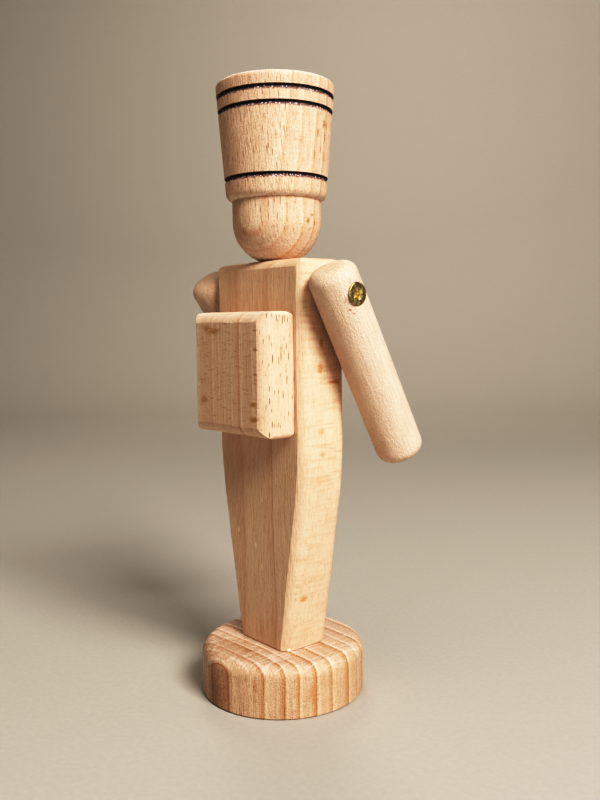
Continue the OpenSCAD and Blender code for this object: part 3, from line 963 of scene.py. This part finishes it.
# Growth rings that the photograph shows, each as the place in millimetres where it ends and how dark it gets
BASE_RINGS = [
    (-22.5, 1.0), (-20.9, 1.0), (-18.9, 0.6), (-16.4, 1.0), (-12.3, 0.97), (-9.3, 0.95), (-5.3, 1.0),
    (-0.8, 0.94), (5.2, 0.97), (9.2, 0.8), (13.0, 0.95), (17.5, 0.9), (22.5, 0.8)]
BODY_RINGS = [
    (-8.0, 0.5), (-3.5, 0.4), (1.0, 0.5), (5.0, 0.4), (8.6, 0.97), (12.0, 1.0), (15.4, 0.5), (19.5, 0.6)]
PACK_RINGS = [
    (-17.0, 0.6), (-13.0, 0.5), (-5.9, 0.75), (-3.0, 0.6), (-0.8, 0.8), (0.9, 0.6), (2.2, 0.75), (5.8, 0.95),
    (10.4, 0.7), (16.0, 0.7)]

# Marks that the photograph shows on each piece, and painted shade on the base: where, how far in X, Y and Z,
# how strong, which colour
STAIN = "#B87844"
HONEY = "#B88A48"
KNOT = "#8A5630"
RAY = "#A8733C"
# Colour of the painted shade on the base's top behind the body
PAINTED_SHADE = "#94704E"
GLUE = "#F8F4EE"
PALE_SPECK = "#EAD6BE"
BASE_MARKS = [
    ((1.8, 21.2, 4.0), (5.2, 1.8, 7.0), 0.5, KNOT),
    ((-20.0, 7.3, 6.8), (0.9, 0.9, 2.6), 0.45, STAIN),
    ((-11.2, 18.1, 8.0), (0.8, 0.8, 2.2), 0.4, STAIN),
    ((-8.9, 5.4, 13.1), (1.0, 0.8, 0.5), 1.0, GLUE),
    # Painted shade: darkens the base's top behind the body
    ((5.0, 15.5, 13.1), (12.0, 6.5, 4.0), 0.55, PAINTED_SHADE)]
BODY_MARKS = [
    ((-17.7, 1.2, 91.3), (0.8, 0.8, 1.4), 0.65, STAIN),
    ((-17.7, 1.6, 85.2), (0.8, 1.0, 1.7), 0.65, STAIN),
    ((-17.7, -2.9, 81.6), (0.8, 2.6, 0.6), 0.8, STAIN),
    ((-17.7, 1.4, 69.5), (0.8, 1.4, 1.0), 0.45, STAIN),
    ((-17.7, 0.9, 64.0), (0.8, 1.0, 0.9), 0.4, STAIN),
    ((-9.6, 5.8, 13.5), (0.7, 0.6, 0.5), 1.0, GLUE),
    ((-12.5, 2.9, 26.9), (0.9, 1.5, 1.2), 0.7, STAIN),
    # Pale specks on the body's back
    ((8.9, 7.2, 41.7), (0.45, 0.6, 0.9), 0.8, PALE_SPECK),
    ((1.6, 7.2, 38.8), (0.5, 0.6, 1.1), 0.8, PALE_SPECK),
    ((-0.6, 7.2, 33.6), (0.4, 0.6, 0.9), 0.7, PALE_SPECK),
    ((-1.3, 7.2, 51.2), (0.4, 0.6, 0.8), 0.6, PALE_SPECK)]
PACK_MARKS = [
    ((8.1, 16.8, 95.0), (1.8, 1, 1.0), 0.7, HONEY),
    ((4.8, 16.8, 94.2), (3.0, 1, 1.1), 0.8, HONEY),
    ((9.6, 16.8, 76.9), (1.9, 1, 1.1), 0.7, HONEY),
    ((-11.0, 16.8, 76.9), (1.8, 1, 0.8), 0.8, HONEY),
    ((-11.0, 16.8, 73.4), (2.0, 1, 0.9), 0.9, HONEY),
    ((-12.0, 16.8, 89.9), (1.2, 1, 0.4), 0.6, KNOT),
    ((-12.0, 16.8, 94.5), (1.1, 1, 0.35), 0.5, KNOT),
    ((-11.8, 16.8, 84.1), (1.1, 1, 0.35), 0.5, KNOT)]
HEAD_MARKS = [
    ((-13.3, -4.4, 144.1), (0.8, 0.5, 1.3), 0.9, RAY),
    ((-12.8, -5.6, 143.9), (0.8, 0.45, 1.5), 0.9, RAY),
    ((-12.9, -5.1, 141.2), (0.8, 0.45, 1.4), 0.9, RAY),
    ((-13.7, -2.1, 142.0), (0.6, 0.5, 1.6), 0.7, RAY),
    ((-13.4, -1.0, 144.6), (0.6, 0.45, 1.2), 0.6, RAY),
    ((-13.3, -3.4, 138.2), (0.7, 0.45, 1.5), 0.7, RAY),
    ((-12.6, -5.2, 136.6), (0.8, 0.45, 1.2), 0.7, RAY),
    ((-13.4, -1.2, 136.8), (0.7, 0.4, 1.3), 0.5, RAY),
    ((-10.9, -2.4, 122.6), (0.5, 0.9, 0.45), 0.9, RAY),
    ((-11.2, -0.9, 121.1), (0.5, 0.7, 0.8), 0.9, RAY),
    ((-10.7, -3.4, 120.8), (0.5, 0.45, 1.0), 0.9, RAY),
    ((-11.0, -2.0, 119.1), (0.5, 0.9, 0.6), 0.9, RAY)]
ARM_MARKS = [
    ((-29.7, 2.6, 98.9), (0.9, 0.9, 0.5), 0.9, KNOT),
    ((-29.4, 3.7, 100.4), (0.9, 0.35, 1.5), 0.7, KNOT),
    ((-29.5, 3.2, 105.6), (0.9, 0.3, 0.9), 0.6, KNOT),
    ((-29.8, 1.6, 98.2), (0.8, 0.7, 0.4), 0.6, KNOT)]

make_camera()
make_floor()
light_studio()
set_tones()

base_wood = beech(
    "beech_base", "#CAA98D", BASE_RINGS, turn=(0, 0, 90), centre=(0, 0, 6), pith=220, marks=BASE_MARKS,
    seasons=0.8, patches=0.6, streaks=0.25, dashes=0.35, pores=0.35, flecks=0.25, silver=0.5, grit=1.0,
    end=1.0, fuzz=1.3, relief=0.16, end_tone="#CEAE96", late="#B08158", early="#DABC9C", gloss=(0.22, 0.38))
body_wood = beech(
    "beech_body", "#DCBEA3", BODY_RINGS, turn=(0, 0, -90), centre=(20, 0, 60), pith=60, marks=BODY_MARKS,
    seasons=0.24, quarter_seasons=0.08, patches=0.15, streaks=0.2, dashes=0.10, pores=0.3, flecks=0.12,
    silver=0.9, grit=0.4, early="#E2C6AA")
pack_wood = beech(
    "beech_knapsack", "#DABAA0", PACK_RINGS, turn=(0, 0, 180), centre=(0, 12, 84), pith=200,
    marks=PACK_MARKS, seasons=0.6, patches=0.3, streaks=0.15, dashes=0.85, pores=0.3, flecks=0.31,
    end_tone="#EAD3C0")
head_wood = beech(
    "beech_head", "#D6B79E", regular_rings(half=16, pitch=3.4, seed=3), turn=(0, 0, -106),
    centre=(0, 0, 133), pith=45, marks=HEAD_MARKS, patches=0.3, pores=0.5, flecks=0.25, grit=0.9, end=0.8,
    fuzz=1.0, relief=0.16, end_tone="#E6D4C8")
right_arm_wood = beech(
    "beech_right_arm", "#E2C9B4", regular_rings(half=9, pitch=4.0, seed=6), turn=(RIGHT_SWING, 0, 0),
    centre=(-ARM_X, PIVOT_Y, PIVOT_Z), pith=90, marks=ARM_MARKS, seasons=0.22, patches=0.6, streaks=0.16,
    dashes=0.0, pores=0.1, flecks=0.0, silver=0.1, grit=0.6, end=0.3, fuzz=2.4, relief=0.14)
left_arm_wood = beech(
    "beech_left_arm", "#E0C5AD", regular_rings(half=9, pitch=4.0, seed=7), turn=(LEFT_SWING, 0, 0),
    centre=(ARM_X, PIVOT_Y, PIVOT_Z), pith=90, seasons=0.3, patches=0.5, streaks=0.25, dashes=0.0,
    pores=0.2, flecks=0.0, silver=0.2, end=0.3, fuzz=2.0)
dowel_wood = beech(
    "beech_dowel", "#E0C0A0", regular_rings(half=4, pitch=2.0, seed=9), centre=(0, 0, SHOULDER_Z), pith=90,
    seasons=0.3)
burn(head_wood, GROOVES)
brass = brass_plate("brass_plate")

finish_piece(make_base(), "turned_base", "figure", "base_disc", base_wood)
finish_piece(make_body(), "sawn_body", "figure", "body_block", body_wood)
finish_piece(make_head(), "turned_hat", "figure", "turned_head", head_wood, crisp=20)
finish_piece(make_knapsack(), "sawn_knapsack", "figure", "knapsack", pack_wood)
finish_piece(make_arm(-1, RIGHT_SWING, seed=4), "dowel_right_arm", "right_arm", "right_arm",
             right_arm_wood)
finish_piece(make_arm(1, LEFT_SWING, seed=5), "dowel_left_arm", "left_arm", "left_arm",
             left_arm_wood)
for name, node, place, sizes, turn in (
        ("right_pivot_screw", "right_arm_screw", arm_screw_place(-1), ARM_SCREW, 25),
        ("left_pivot_screw", "left_arm_screw", arm_screw_place(1), ARM_SCREW, 65),
        ("right_sole_screw", "right_foot_screw", foot_screw_place(-1), FOOT_SCREW, 10),
        ("left_sole_screw", "left_foot_screw", foot_screw_place(1), FOOT_SCREW, 50)):
    finish_piece(make_screw(place, **sizes, turn=turn), name, "figure", node, brass, crisp=30)
# The neck dowel is hidden in its bores, and keeps its CAD shape
nodes["neck_dowel"].data.materials.clear()
nodes["neck_dowel"].data.materials.append(dowel_wood)
